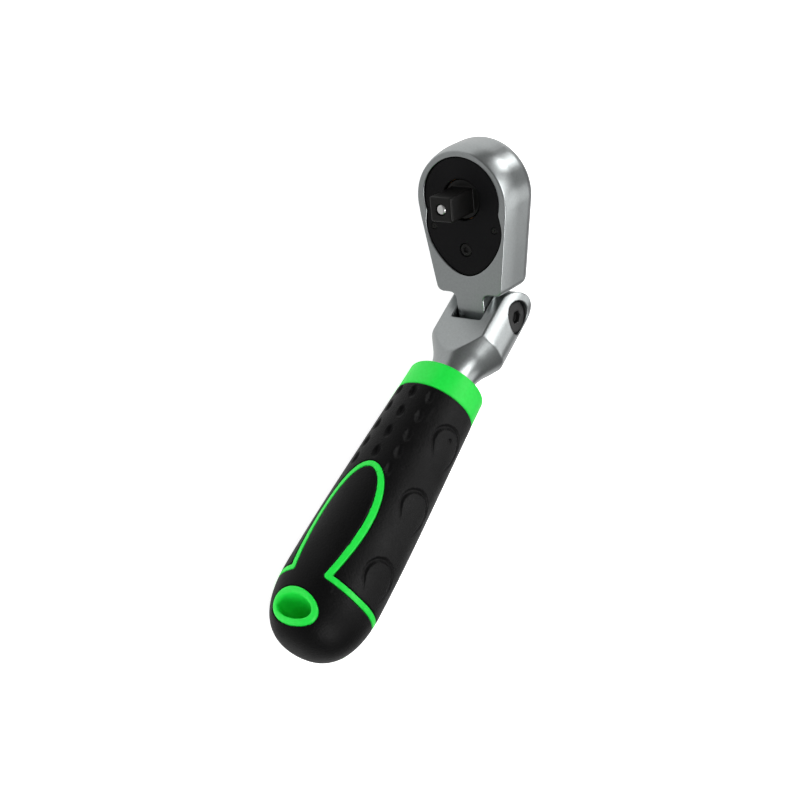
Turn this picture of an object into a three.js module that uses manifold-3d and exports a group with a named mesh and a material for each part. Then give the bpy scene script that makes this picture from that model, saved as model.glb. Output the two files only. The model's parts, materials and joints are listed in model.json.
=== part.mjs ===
// Flex-head ratchet wrench with a 6.35 mm square drive, a quick-release pin and a two-material handle.
//
// Two frames hold the pieces. The handle frame has its origin where the flex joint's axis crosses the
// handle's axis: +X runs up the handle to the head, +Y is the front and +Z is the flex joint's axis.
// The head frame shares that origin and +Z, and turns about +Z with the head: its +X is the head's long
// axis and its +Y is the way the square points. The whole tool then lies on its side on a flat surface.

import * as THREE from "three";
import { mergeVertices } from "three/addons/utils/BufferGeometryUtils.js";
import Module from "manifold-3d";

const wasm = await Module();
wasm.setup();

// Driving dimensions, in millimetres and degrees.

// Pose: how far the head leans at rest, and how the tool lies on its side.
const flexAtRest = 60;
const lieRoll = 8.3;
const liePitch = 1.8;

// Square drive and ratchet gear, measured along the drive axis from the flex axis.
const driveAxisX = 32.4;
const squareSize = 6.35;
const squareCorner = 0.5;
const squareEndY = 16.3;
const squareChamfer = 0.5;
const toothCount = 72;
const toothTipRadius = 8.4;
const toothRootRadius = 7.95;
const gearFrontY = 4.9;
const gearBackY = -3.6;
const journalRadius = 5.1;
const journalFrontY = 6.4;
const bossRadius = 4.5;
const bossBackY = -6.0;
const pinBoreRadius = 1.52;
const springBoreRadius = 3.15;
const springBoreEndY = -0.5;

// Quick-release pin, button and retaining ball.
const pinRadius = 1.43;
const pinWaistRadius = 0.95;
const pinWaistY = [8.4, 9.0, 10.3, 12.3];
const pinTailRadius = 0.95;
const pinEndChamfer = 0.15;
const buttonRadius = 3.0;
const buttonY = [-7.6, -5.6];
const buttonDish = 0.35;
const buttonEdge = 0.4;
const buttonSkin = 0.5;
const ballRadius = 1.0;
const ballReach = 2.55;
const ballY = 12.3;
const releaseCoil = { radius: 2.6, wire: 0.3, turns: 4 };

// Head body.
const headRadius = 13.45;
const frontSwell = { size: 0.3, height: 3.5, steps: 3 };
const backRounding = { size: 1.5, height: 2.6, steps: 3 };
const headFrontY = 7.3;
const headBackY = -6.2;
const shoulderX = 7.8;
const shoulderHalfWidth = 9.7;
const shoulderCorner = 1.8;
const tongueRadius = 6.9;
const tongueHalfWidth = 4.2;
const tongueBackY = -5.6;
const tongueFront = { x: 0.9, y: 7.05 };
const notchStep = 15;
const notchReach = 90;
const notchRadius = 0.9;
const notchDepth = 0.4;
const gearBoreRadius = 8.75;
const chamberFloorY = -3.8;

// Cover plate, its pins and its screw.
const coverRadius = 10.85;
const coverBackY = 5.4;
const coverFrontY = 7.0;
const coverToe = 19.7;
const coverLobe = [7.4, 11.0];
const coverNeck = 3.0;
const coverHoleRadius = 5.3;
const coverPinX = -7.35;
const coverPinZ = 8.95;
const coverPinRadius = 0.8;
const coverPinY = [1.5, 6.9];
const coverScrewRadius = 1.65;
const coverScrewShank = 1.0;
const coverScrewSeatY = 6.0;
const coverScrewTopY = 6.85;
const coverScrewEndY = 2.0;
const coverScrewSocket = 1.5;
const coverScrewSocketDepth = 0.55;
const washerY = [5.0, 5.3];
const washerRadius = 8.2;

// Reversing lever, its stem, and the pawl that rocks on the stem.
const stemOffset = 13.04;
const stemRadius = 2.4;
const stemFrontY = 5.2;
const leverY = [-8.9, -6.5];
const leverHubRadius = 4.2;
const leverTipRadius = 2.1;
const leverTipX = 6.4;
const leverHubArc = [12, 108];
const leverTipArc = [96, 180];
const leverRim = { size: 0.5, height: 0.5, steps: 1 };
const leverTurn = 32;
const plungerY = 0.2;
const plungerRadius = 0.88;
const plungerBackX = 0.7;
const plungerNose = { length: 0.6, radius: 0.6, height: 0.15 };
const plungerReach = 3.0;
const plungerHoleX = -1.75;
const pawlCoil = { radius: 0.75, wire: 0.16, turns: 3 };
const pawlTilt = 2.25;
const pawlWingLap = 8;
const pawlHubRoot = { x: 1.2, halfWidth: 2 };
const pawlY = [-3.5, 4.8];
const pawlOuterRadius = 9.75;
const pawlWingRadius = 9.45;
const pawlToothRadius = 8.1;
const pawlBridgeRadius = 9.0;
const pawlToothStart = 38;
const pawlWingEnd = 58;
const pawlHubRadius = 4.4;
const pawlPocketRadius = 3.15;
const pawlToothGap = 0.08;
const pocketGap = 0.25;
const chamberRadius = 10.45;
const chamberReach = 72;
const hubRoom = 0.35;
const sealY = -5.0;
const sealRing = [2.22, 0.27];
const sealGrooveHalf = 0.4;
const sealGrooveDepth = 0.5;

// Fork: a turned bar with flats, slotted for the tongue.
const forkRadius = 10.0;
const forkFlatY = 6.75;
const earRadius = 6.55;
const slotHalfWidth = 4.4;
const slotFloorX = -7.25;
const slotCorner = 0.6;
const tangRadius = 4.5;
const tangFlatY = 3.6;
const tangFlatEndX = -34;
const tangEndX = -80;
const tangStartX = -32.5;
const tangChamfer = 0.5;
const earSweep = 80;
const earEndX = 8;
// The fork's neck, from the handle up to its widest ring: [x, radius].
const neckProfile = [
  [-31, 5.9],
  [-22.5, 5.9],
  [-20, 6.15],
  [-18, 6.75],
  [-16.2, 7.6],
  [-12.4, 9.85],
  [-11.7, 10.0],
];

// Pivot screw.
const screwHeadRadius = 4.2;
const screwHeadZ = [7.2, 9.1];
const screwShankRadius = 2.5;
const screwThreadRadius = 2.0;
const screwEndZ = -9.0;
const screwSocket = 3.0;
const screwSocketDepth = 1.3;
const screwEdge = 0.4;

// Flex detent.
const detentBallRadius = 1.2;
const detentBallX = -8.25;
const detentBoreEndX = -14.6;
const detentCoil = { radius: 1.1, wire: 0.2, turns: 5 };

// Handle: radii at stations down its length, then the collar, stripe and hang hole.
const gripStations = [
  [-24.3, 10.1],
  [-31.8, 10.45],
  [-42, 11.1],
  [-54, 11.65],
  [-66, 12.2],
  [-76, 12.65],
  [-85, 12.75],
  [-91, 12.5],
  [-95.5, 11.9],
  [-99.5, 10.3],
  [-102.3, 7.8],
  [-104.0, 4.4],
  [-104.7, 0],
];
const collarTopX = -24.3;
const collarBaseX = -31.8;
const collarEdge = 0.3;
const collarRadius = [10.13, 10.43];
const coreStations = [
  [-91.5, 8.2],
  [-89.5, 10.4],
  [-78, 10.3],
  [-55, 9.4],
  [-31.8, 8.1],
];
const stripeTipX = -56.8;
const stripeTipPull = 5.2;
const stripeBelly = [-70, 11.5];
const stripeTail = [6, 2.7];
const stripeBaseX = -89.4;
const stripeBaseZ = 4.4;
const stripeWidth = 1.5;
const handleEndX = -120;
const hangHoleX = -97.5;
const hangHole = { halfLength: 2.5, halfWidth: 4.7 };
const hangRingOutside = { halfLength: 4.0, halfWidth: 6.5 };
const ringProud = 0.15;

// Gaps: a running fit, a seat between parts that don't move, the overmould's parting line, and a loose
// fit.
const runningGap = 0.1;
const seatGap = 0.05;
const partingGap = 0.12;
const looseGap = 0.15;

// Cutting tools run past what they cut: a little past a face, or right through the tool.
const past = 1;
const through = 20;

// Finishes.
const satinChrome = new THREE.MeshStandardMaterial({ color: 0xa9acab, roughness: 0.36, metalness: 1 });
const blackSteel = new THREE.MeshStandardMaterial({ color: 0x141414, roughness: 0.5, metalness: 0.6 });
const brightSteel = new THREE.MeshStandardMaterial({ color: 0xc8c8c4, roughness: 0.25, metalness: 1 });
const springSteel = new THREE.MeshStandardMaterial({ color: 0x8b8d90, roughness: 0.3, metalness: 1 });
const sinteredSteel = new THREE.MeshStandardMaterial({ color: 0x54565a, roughness: 0.55, metalness: 0.9 });
const bronze = new THREE.MeshStandardMaterial({ color: 0xa9793f, roughness: 0.4, metalness: 1 });
const sealRubber = new THREE.MeshStandardMaterial({ color: 0x1a1a1a, roughness: 0.7, metalness: 0 });
const greenPlastic = new THREE.MeshStandardMaterial({ color: 0x35c84f, roughness: 0.42, metalness: 0 });
const softGrip = new THREE.MeshStandardMaterial({ color: 0x1f1f20, roughness: 0.82, metalness: 0 });

// Solids: a closed geometry with its shared vertices merged can be joined and cut.

function solid(geometry) {
  geometry.deleteAttribute("normal");
  geometry.deleteAttribute("uv");
  const merged = mergeVertices(geometry, 1e-4);
  const corners = merged.index.array;
  const triVerts = [];
  for (let i = 0; i < corners.length; i += 3) {
    const [a, b, c] = corners.slice(i, i + 3);
    if (a !== b && b !== c && c !== a) triVerts.push(a, b, c);
  }
  const vertProperties = merged.attributes.position.array;
  return new wasm.Manifold(
    new wasm.Mesh({ numProp: 3, vertProperties, triVerts: new Uint32Array(triVerts) }),
  );
}

function asSolid(shape) {
  return shape.isBufferGeometry ? solid(shape) : shape;
}

function join(...shapes) {
  return shapes.map(asSolid).reduce((whole, next) => whole.add(next));
}

function cut(blank, ...tools) {
  return tools.map(asSolid).reduce((whole, tool) => whole.subtract(tool), asSolid(blank));
}

function common(...shapes) {
  return shapes.map(asSolid).reduce((whole, next) => whole.intersect(next));
}

function piece(name, shape, material) {
  const made = asSolid(shape).getMesh();
  const geometry = new THREE.BufferGeometry();
  geometry.setAttribute("position", new THREE.BufferAttribute(made.vertProperties, 3));
  geometry.setIndex(new THREE.BufferAttribute(made.triVerts, 1));
  geometry.computeVertexNormals();
  const mesh = new THREE.Mesh(geometry, material);
  mesh.name = name;
  return mesh;
}

// Turned shapes: the profile is a list of [distance along the axis, radius], in rising order.

function turned(profile, axis, segments = 24) {
  const points = profile.map(([along, radius]) => new THREE.Vector2(radius, along));
  return pointed(new THREE.LatheGeometry(points, segments), axis);
}

function rod(radius, from, to, axis, segments = 24) {
  const profile = [
    [from, 0],
    [from, radius],
    [to, radius],
    [to, 0],
  ];
  return turned(profile, axis, segments);
}

// Turns a geometry made about +Y so that +Y becomes the named axis.
function pointed(geometry, axis) {
  if (axis === "x") geometry.rotateZ(-Math.PI / 2);
  if (axis === "z") geometry.rotateX(Math.PI / 2);
  return geometry;
}

// Flat shapes: an outline in X and Z made thick along Y, or an outline in X and Y made thick along Z.
// edge rounds both rims, by size across the outline and by height along the thickness.

function slab(outline, low, high, axis, edge = { size: 0, height: 0, steps: 0 }) {
  const geometry = new THREE.ExtrudeGeometry(new THREE.Shape(outline), {
    depth: high - low - 2 * edge.height,
    bevelEnabled: edge.size > 0,
    bevelSize: edge.size,
    bevelOffset: -edge.size,
    bevelThickness: edge.height,
    bevelSegments: edge.steps,
  });
  if (axis === "z") {
    geometry.translate(0, 0, low + edge.height);
    return geometry;
  }
  geometry.translate(0, 0, edge.height - high);
  geometry.rotateX(Math.PI / 2);
  return geometry;
}

// Outlines are lists of Vector2.

function at(x, y) {
  return new THREE.Vector2(x, y);
}

function polar(radius, degrees) {
  const angle = THREE.MathUtils.degToRad(degrees);
  return at(radius * Math.cos(angle), radius * Math.sin(angle));
}

function arc(centreX, centreY, radius, from, to, steps) {
  const points = [];
  for (let i = 0; i <= steps; i += 1) {
    points.push(polar(radius, from + ((to - from) * i) / steps).add(at(centreX, centreY)));
  }
  return points;
}

// The arc that rounds one corner of an outline.
function fillet(before, corner, after, radius, steps = 4) {
  const toBefore = before.clone().sub(corner).normalize();
  const toAfter = after.clone().sub(corner).normalize();
  const half = Math.acos(toBefore.dot(toAfter)) / 2;
  const start = corner.clone().addScaledVector(toBefore, radius / Math.tan(half));
  const end = corner.clone().addScaledVector(toAfter, radius / Math.tan(half));
  const middle = toBefore.add(toAfter).normalize();
  const centre = corner.clone().addScaledVector(middle, radius / Math.sin(half));
  const points = [];
  for (let i = 0; i <= steps; i += 1) {
    const spoke = start.clone().lerp(end, i / steps).sub(centre).normalize();
    points.push(centre.clone().addScaledVector(spoke, radius));
  }
  return points;
}

function roundedPolygon(corners, radius, steps) {
  const count = corners.length;
  return corners.flatMap((corner, i) =>
    fillet(corners[(i + count - 1) % count], corner, corners[(i + 1) % count], radius, steps),
  );
}

function rectangle(lowX, lowY, highX, highY) {
  return [at(lowX, lowY), at(highX, lowY), at(highX, highY), at(lowX, highY)];
}

function hexagon(acrossFlats) {
  const radius = acrossFlats / Math.sqrt(3);
  return arc(0, 0, radius, 0, 300, 5);
}

// Half an outline, listed from one point on the X axis to another, with its mirror image.
function mirrored(half) {
  const back = half
    .slice(1, -1)
    .reverse()
    .map((point) => at(point.x, -point.y));
  return [...half, ...back];
}

// An outline moved outwards by a distance, point by point. It runs anticlockwise or clockwise.
function grown(outline, distance) {
  const outwards = THREE.ShapeUtils.isClockWise(outline) ? -distance : distance;
  const count = outline.length;
  return outline.map((point, i) => {
    const along = outline[(i + 1) % count].clone().sub(outline[(i + count - 1) % count]);
    return point.clone().addScaledVector(at(along.y, -along.x).normalize(), outwards);
  });
}

function bezier(start, first, second, end, steps) {
  return new THREE.CubicBezierCurve(start, first, second, end).getPoints(steps);
}

// Coil springs lie along +Y before they are pointed.

class Helix extends THREE.Curve {
  constructor(radius, low, high, turns) {
    super();
    Object.assign(this, { radius, low, high, turns });
  }
  getPoint(t, target = new THREE.Vector3()) {
    const angle = t * this.turns * 2 * Math.PI;
    const along = THREE.MathUtils.lerp(this.low, this.high, t);
    return target.set(this.radius * Math.cos(angle), along, this.radius * Math.sin(angle));
  }
}

function coilSpring({ radius, wire, turns }, low, high, axis) {
  const path = new Helix(radius - wire, low + wire, high - wire, turns);
  const section = new THREE.Shape(arc(0, 0, wire, 0, 300, 5));
  const stepsPerTurn = 8;
  const geometry = new THREE.ExtrudeGeometry(section, {
    steps: turns * stepsPerTurn,
    extrudePath: path,
    bevelEnabled: false,
  });
  return pointed(geometry, axis);
}

// Head body: a pear-shaped forging. Its walls swell a little between the faces.

function pearOutline(radius) {
  const shoulder = at(shoulderX - driveAxisX, shoulderHalfWidth);
  const spread = THREE.MathUtils.radToDeg(Math.acos(radius / shoulder.length()));
  const touch = THREE.MathUtils.radToDeg(shoulder.angle()) - spread;
  const round = arc(driveAxisX, 0, radius, -touch, touch, 26);
  const left = at(shoulderX, shoulderHalfWidth);
  const right = at(shoulderX, -shoulderHalfWidth);
  return [
    ...fillet(left, right, round[0], shoulderCorner, 3),
    ...round,
    ...fillet(round[round.length - 1], left, right, shoulderCorner, 3),
  ];
}

function coverOutline() {
  const toeX = driveAxisX - coverToe;
  const lobe = at(driveAxisX - coverLobe[0], coverLobe[1]);
  const neckZ = Math.sqrt(coverRadius ** 2 - coverNeck ** 2);
  const neck = at(driveAxisX - coverNeck, neckZ);
  const neckAngle = THREE.MathUtils.radToDeg(Math.atan2(neckZ, -coverNeck));
  return mirrored([
    ...bezier(at(toeX, 0), at(toeX, 5), at(lobe.x - 5.1, lobe.y), lobe, 9).slice(0, -1),
    ...bezier(lobe, at(lobe.x + 2, lobe.y), at(neck.x - 1.4, neck.y + 0.1), neck, 4).slice(0, -1),
    ...arc(driveAxisX, 0, coverRadius, neckAngle, 0, 14),
  ]);
}

function tongue() {
  const webEndX = shoulderX + 3;
  const profile = [
    at(webEndX, tongueFront.y),
    at(tongueFront.x, tongueFront.y),
    ...arc(0, 0, tongueRadius, 90, 235, 20),
    at(0, tongueBackY),
    at(webEndX, tongueBackY),
  ];
  return slab(profile, -tongueHalfWidth, tongueHalfWidth, "z");
}

function notches() {
  const tools = [];
  for (let angle = -notchReach; angle <= notchReach; angle += notchStep) {
    const tool = rod(notchRadius, -tongueHalfWidth - past, tongueHalfWidth + past, "z", 12);
    tool.translate(-(tongueRadius + notchRadius - notchDepth), 0, 0);
    tool.rotateZ(THREE.MathUtils.degToRad(angle));
    tools.push(tool);
  }
  return tools;
}

function headBody() {
  const shell = common(
    slab(pearOutline(headRadius), headBackY - through, headFrontY, "y", frontSwell),
    slab(pearOutline(headRadius), headBackY, headFrontY + through, "y", backRounding),
  );
  const forging = cut(join(shell, tongue()), ...notches());
  const coverSeat = slab(grown(coverOutline(), partingGap), coverBackY - seatGap, headFrontY + past, "y");
  const gearBore = rod(gearBoreRadius, chamberFloorY, headFrontY, "y", 36);
  gearBore.translate(driveAxisX, 0, 0);
  const bossBore = rod(bossRadius + looseGap, headBackY - past, 0, "y");
  bossBore.translate(driveAxisX, 0, 0);
  const wingRoom = slab(
    arc(driveAxisX, 0, chamberRadius, 180 - chamberReach, 180 + chamberReach, 24),
    chamberFloorY,
    headFrontY,
    "y",
  );
  const hubChamber = rod(pawlHubRadius + hubRoom, chamberFloorY, headFrontY, "y", 24);
  hubChamber.translate(driveAxisX - stemOffset, 0, 0);
  const stemBore = rod(stemRadius + looseGap, headBackY - past, 0, "y", 24);
  stemBore.translate(driveAxisX - stemOffset, 0, 0);
  const pinBores = [-1, 1].map((side) => {
    const bore = rod(coverPinRadius + seatGap, coverPinY[0] - seatGap, headFrontY, "y", 12);
    return bore.translate(driveAxisX + coverPinX, 0, side * coverPinZ);
  });
  const pivotBore = rod(screwShankRadius + runningGap, -through, through, "z", 24);
  const chambers = [gearBore, bossBore, wingRoom, hubChamber, stemBore];
  return cut(forging, coverSeat, ...chambers, ...pinBores, pivotBore);
}

function headCover() {
  const plate = slab(coverOutline(), coverBackY, coverFrontY, "y");
  const driveHole = rod(coverHoleRadius, 0, headFrontY + past, "y", 32);
  driveHole.translate(driveAxisX, 0, 0);
  const stemX = driveAxisX - stemOffset;
  const screwHole = rod(coverScrewShank + looseGap, 0, headFrontY + past, "y", 16);
  const screwSeat = rod(coverScrewRadius + looseGap, coverScrewSeatY, headFrontY + past, "y", 24);
  const pinHoles = [-1, 1].map((side) => {
    const hole = rod(coverPinRadius + seatGap, 0, headFrontY + past, "y", 12);
    return hole.translate(driveAxisX + coverPinX, 0, side * coverPinZ);
  });
  return cut(
    plate,
    driveHole,
    screwHole.translate(stemX, 0, 0),
    screwSeat.translate(stemX, 0, 0),
    ...pinHoles,
  );
}

function coverPin(side) {
  const pin = rod(coverPinRadius, coverPinY[0], coverPinY[1], "y", 12);
  return pin.translate(driveAxisX + coverPinX, 0, side * coverPinZ);
}

function thrustWasher() {
  const ring = [
    [washerY[0], journalRadius + looseGap],
    [washerY[0], washerRadius],
    [washerY[1], washerRadius],
    [washerY[1], journalRadius + looseGap],
    [washerY[0], journalRadius + looseGap],
  ];
  return turned(ring, "y", 32).translate(driveAxisX, 0, 0);
}

// Drive: gear, journal and square in one piece, made about its own axis.

function gearOutline(extra = 0) {
  const halfPitch = 180 / toothCount;
  const points = [];
  for (let tooth = 0; tooth < toothCount; tooth += 1) {
    points.push(polar(toothTipRadius + extra, 2 * tooth * halfPitch));
    points.push(polar(toothRootRadius + extra, (2 * tooth + 1) * halfPitch));
  }
  return points;
}

function driveGear() {
  const half = squareSize / 2;
  const squareOutline = roundedPolygon(rectangle(-half, -half, half, half), squareCorner, 3);
  const endChamfer = { size: squareChamfer, height: squareChamfer, steps: 1 };
  const blank = join(
    slab(gearOutline(), gearBackY, gearFrontY, "y"),
    rod(journalRadius, 0, journalFrontY, "y", 32),
    rod(bossRadius, bossBackY, 0, "y", 24),
    slab(squareOutline, 0, squareEndY, "y", endChamfer),
  );
  const ballHole = rod(ballRadius + seatGap, -squareSize, 0, "x", 16);
  return cut(
    blank,
    rod(pinBoreRadius, bossBackY - past, squareEndY + past, "y", 20),
    rod(springBoreRadius, bossBackY - past, springBoreEndY, "y", 24),
    ballHole.translate(0, ballY, 0),
  );
}

function releasePin() {
  const [narrowing, waistBack, waistFront, fullAgain] = pinWaistY;
  const profile = [
    [buttonY[0] + buttonSkin, 0],
    [buttonY[0] + buttonSkin, pinTailRadius],
    [buttonY[1] + seatGap, pinTailRadius],
    [buttonY[1] + seatGap, pinRadius],
    [narrowing, pinRadius],
    [waistBack, pinWaistRadius],
    [waistFront, pinWaistRadius],
    [fullAgain, pinRadius],
    [squareEndY - pinEndChamfer, pinRadius],
    [squareEndY, pinRadius - pinEndChamfer],
    [squareEndY, 0],
  ];
  return turned(profile, "y", 20);
}

function releaseButton() {
  const profile = [
    [buttonY[0] + buttonDish, 0],
    [buttonY[0], buttonRadius - buttonEdge],
    [buttonY[0] + buttonEdge, buttonRadius],
    [buttonY[1], buttonRadius],
    [buttonY[1], 0],
  ];
  const socketFloorY = buttonY[0] + buttonSkin - seatGap;
  const tailSocket = rod(pinTailRadius + seatGap, socketFloorY, buttonY[1] + past, "y", 20);
  return cut(turned(profile, "y", 24), tailSocket);
}

function releaseSpring() {
  return coilSpring(releaseCoil, buttonY[1] + runningGap, springBoreEndY - runningGap, "y");
}

function retainingBall() {
  return new THREE.SphereGeometry(ballRadius, 12, 8).translate(-ballReach, ballY, 0);
}

// Pawl: two toothed wings on a bridge, with a saddle that rocks on the lever's stem. It is made about
// the stem's axis, level, and each wing is placed where it meets the gear when the pawl leans its way.

function pawlWing(side) {
  const from = 180 - side * (pawlToothStart - pawlWingLap);
  const to = 180 - side * pawlWingEnd;
  const outline = [
    ...arc(stemOffset, 0, pawlWingRadius, from, to, 6),
    ...arc(stemOffset, 0, pawlToothRadius, to, 180 - side * pawlToothStart, 6),
    ...arc(stemOffset, 0, pawlBridgeRadius, 180 - side * pawlToothStart, from, 2),
  ];
  const wing = slab(outline, pawlY[0], pawlY[1], "y");
  return wing.rotateY(THREE.MathUtils.degToRad(-side * pawlTilt));
}

function pawl() {
  const bridge = slab(
    [
      ...arc(stemOffset, 0, pawlOuterRadius, 180 - pawlToothStart, 180 + pawlToothStart, 14),
      ...arc(stemOffset, 0, pawlBridgeRadius, 180 + pawlToothStart, 180 - pawlToothStart, 14),
    ],
    pawlY[0],
    pawlY[1],
    "y",
  );
  const hub = slab(
    [
      ...arc(0, 0, pawlHubRadius, -100, 100, 20),
      at(pawlHubRoot.x, pawlHubRoot.halfWidth),
      at(pawlHubRoot.x, -pawlHubRoot.halfWidth),
    ],
    pawlY[0],
    pawlY[1],
    "y",
  );
  const gearRoom = rod(pawlBridgeRadius, pawlY[0] - past, pawlY[1] + past, "y", 64);
  gearRoom.translate(stemOffset, 0, 0);
  const stemRoom = rod(stemRadius + looseGap, pawlY[0] - past, pawlY[1] + past, "y", 24);
  const pocketHalf = plungerRadius + pocketGap;
  const pocket = rod(pawlPocketRadius, plungerY - pocketHalf, plungerY + pocketHalf, "y", 24);
  const meshes = [-1, 1].map((side) => {
    const gear = slab(gearOutline(pawlToothGap), pawlY[0] - past, pawlY[1] + past, "y");
    gear.translate(stemOffset, 0, 0);
    return gear.rotateY(THREE.MathUtils.degToRad(side * pawlTilt));
  });
  const blank = join(bridge, cut(hub, gearRoom), pawlWing(-1), pawlWing(1));
  return cut(blank, stemRoom, pocket, ...meshes);
}

// Reversing lever and stem, made about the stem's axis with the tab pointing down the handle.

function selector() {
  const tabOutline = mirrored([
    at(leverHubRadius, 0),
    ...arc(0, 0, leverHubRadius, ...leverHubArc, 12),
    ...arc(-leverTipX, 0, leverTipRadius, ...leverTipArc, 6),
  ]);
  const blank = join(
    rod(stemRadius, leverY[0] + past, stemFrontY, "y", 24),
    slab(tabOutline, leverY[0], leverY[1], "y", leverRim),
  );
  const plungerHole = rod(plungerRadius + seatGap, plungerHoleX, stemRadius + past, "x", 16);
  const screwHole = rod(coverScrewShank + seatGap, coverScrewEndY - seatGap, stemFrontY + past, "y", 16);
  const sealGroove = turned(
    [
      [sealY - sealGrooveHalf, stemRadius - sealGrooveDepth],
      [sealY - sealGrooveHalf, stemRadius + past],
      [sealY + sealGrooveHalf, stemRadius + past],
      [sealY + sealGrooveHalf, stemRadius - sealGrooveDepth],
      [sealY - sealGrooveHalf, stemRadius - sealGrooveDepth],
    ],
    "y",
    24,
  );
  return cut(blank, plungerHole.translate(0, plungerY, 0), screwHole, sealGroove);
}

function selectorSeal() {
  const [ringRadius, cordRadius] = sealRing;
  return pointed(new THREE.TorusGeometry(ringRadius, cordRadius, 6, 16), "z").translate(0, sealY, 0);
}

function pawlPlunger() {
  const profile = [
    [plungerBackX, 0],
    [plungerBackX, plungerRadius],
    [plungerReach - plungerNose.length, plungerRadius],
    [plungerReach - plungerNose.height, plungerNose.radius],
    [plungerReach, 0],
  ];
  return turned(profile, "x", 16).translate(0, plungerY, 0);
}

function pawlSpring() {
  return coilSpring(pawlCoil, plungerHoleX + runningGap, plungerBackX - runningGap, "x").translate(
    0,
    plungerY,
    0,
  );
}

function coverScrew() {
  const blank = join(
    rod(coverScrewRadius, coverScrewSeatY + seatGap, coverScrewTopY, "y", 24),
    rod(coverScrewShank, coverScrewEndY, coverScrewSeatY + looseGap, "y", 16),
  );
  const socketFloorY = coverScrewTopY - coverScrewSocketDepth;
  return cut(blank, slab(hexagon(coverScrewSocket), socketFloorY, coverScrewTopY + past, "y"));
}

// Fork.

function fork() {
  const bar = turned(
    [
      [tangEndX, 0],
      [tangEndX, tangRadius - tangChamfer],
      [tangEndX + tangChamfer, tangRadius],
      [tangStartX, tangRadius],
      ...neckProfile,
      [earEndX, forkRadius],
      [earEndX, 0],
    ],
    "x",
    48,
  );
  const flats = slab(
    [
      at(-1, -forkFlatY),
      ...arc(0, 0, earRadius, -earSweep, earSweep, 16),
      at(-1, forkFlatY),
      at(tangFlatEndX, forkFlatY),
      at(tangFlatEndX, tangFlatY),
      at(tangEndX - past, tangFlatY),
      at(tangEndX - past, -tangFlatY),
      at(tangFlatEndX, -tangFlatY),
      at(tangFlatEndX, -forkFlatY),
    ],
    -forkRadius - past,
    forkRadius + past,
    "z",
  );
  const slotEnd = at(through, 0);
  const floorLeft = at(slotFloorX, -slotHalfWidth);
  const floorRight = at(slotFloorX, slotHalfWidth);
  const slot = slab(
    [
      at(slotEnd.x, -slotHalfWidth),
      at(slotEnd.x, slotHalfWidth),
      ...fillet(at(slotEnd.x, slotHalfWidth), floorRight, floorLeft, slotCorner, 3),
      ...fillet(floorRight, floorLeft, at(slotEnd.x, -slotHalfWidth), slotCorner, 3),
    ],
    -forkRadius,
    forkRadius,
    "y",
  );
  const headRoom = rod(screwHeadRadius + looseGap, screwHeadZ[0] - seatGap, forkRadius + past, "z", 24);
  const shankBore = rod(screwShankRadius + seatGap, 0, forkRadius, "z", 24);
  const threadBore = rod(screwThreadRadius + seatGap, -forkRadius - past, 0, "z", 24);
  const detentBore = rod(detentBallRadius + seatGap, detentBoreEndX, 0, "x", 20);
  return cut(common(bar, flats), slot, headRoom, shankBore, threadBore, detentBore);
}

function pivotScrew() {
  const shankEnd = -slotHalfWidth + seatGap;
  const profile = [
    [screwEndZ, 0],
    [screwEndZ, screwThreadRadius - screwEdge],
    [screwEndZ + screwEdge, screwThreadRadius],
    [shankEnd, screwThreadRadius],
    [shankEnd, screwShankRadius],
    [screwHeadZ[0], screwShankRadius],
    [screwHeadZ[0], screwHeadRadius],
    [screwHeadZ[1] - screwEdge, screwHeadRadius],
    [screwHeadZ[1], screwHeadRadius - screwEdge],
    [screwHeadZ[1], 0],
  ];
  const socket = slab(hexagon(screwSocket), screwHeadZ[1] - screwSocketDepth, screwHeadZ[1] + past, "z");
  return cut(turned(profile, "z", 24), socket);
}

function flexDetentBall() {
  return new THREE.SphereGeometry(detentBallRadius, 12, 8).translate(detentBallX, 0, 0);
}

function flexDetentSpring() {
  const ballBack = detentBallX - detentBallRadius;
  return coilSpring(detentCoil, detentBoreEndX + runningGap, ballBack - runningGap, "x");
}

// Handle. The grip's outside is one turned shape, and every handle piece is trimmed to it.

function handleOutside(extra = 0) {
  const curve = new THREE.SplineCurve(gripStations.map(([x, radius]) => at(x, radius)));
  const points = curve.getPoints(18).reverse();
  const profile = points.slice(1).map((point) => [point.x, point.y + extra]);
  return [[points[0].x - extra, 0], ...profile, [collarTopX, 0]];
}

// The panel inside the stripe, seen from the front: a tongue with a round tip, and the handle's end.
// Growing it by half the stripe's width either way gives the stripe's two edges.
function panel(offset, from, to) {
  const half = bezier(
    at(stripeTipX, 0),
    at(stripeTipX, stripeTipPull),
    at(...stripeBelly),
    at(stripeBaseX, stripeBaseZ),
    11,
  );
  const blob = grown([...mirroredTail(half)], offset);
  return join(
    slab(blob, from, to, "y"),
    slab(rectangle(handleEndX, -through, stripeBaseX + offset, through), from, to, "y"),
  );
}

// The stripe's curve with its mirror image, closed behind the stripe's base.
function mirroredTail(half) {
  const [run, halfWidth] = stripeTail;
  const upper = [...half, at(stripeBaseX - run, halfWidth)];
  const lower = upper
    .slice(1)
    .reverse()
    .map((point) => at(point.x, -point.y));
  return [...upper, ...lower];
}

function coreProfile(extra) {
  const stations = coreStations.map(([x, radius]) => [x, radius + extra]);
  const endX = coreStations[0][0] - extra;
  const topRadius = stations[stations.length - 1][1];
  return [
    [endX, 0],
    [endX, stations[0][1]],
    ...stations.slice(1),
    [collarBaseX + past, topRadius],
    [collarBaseX + past, 0],
  ];
}

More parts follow.
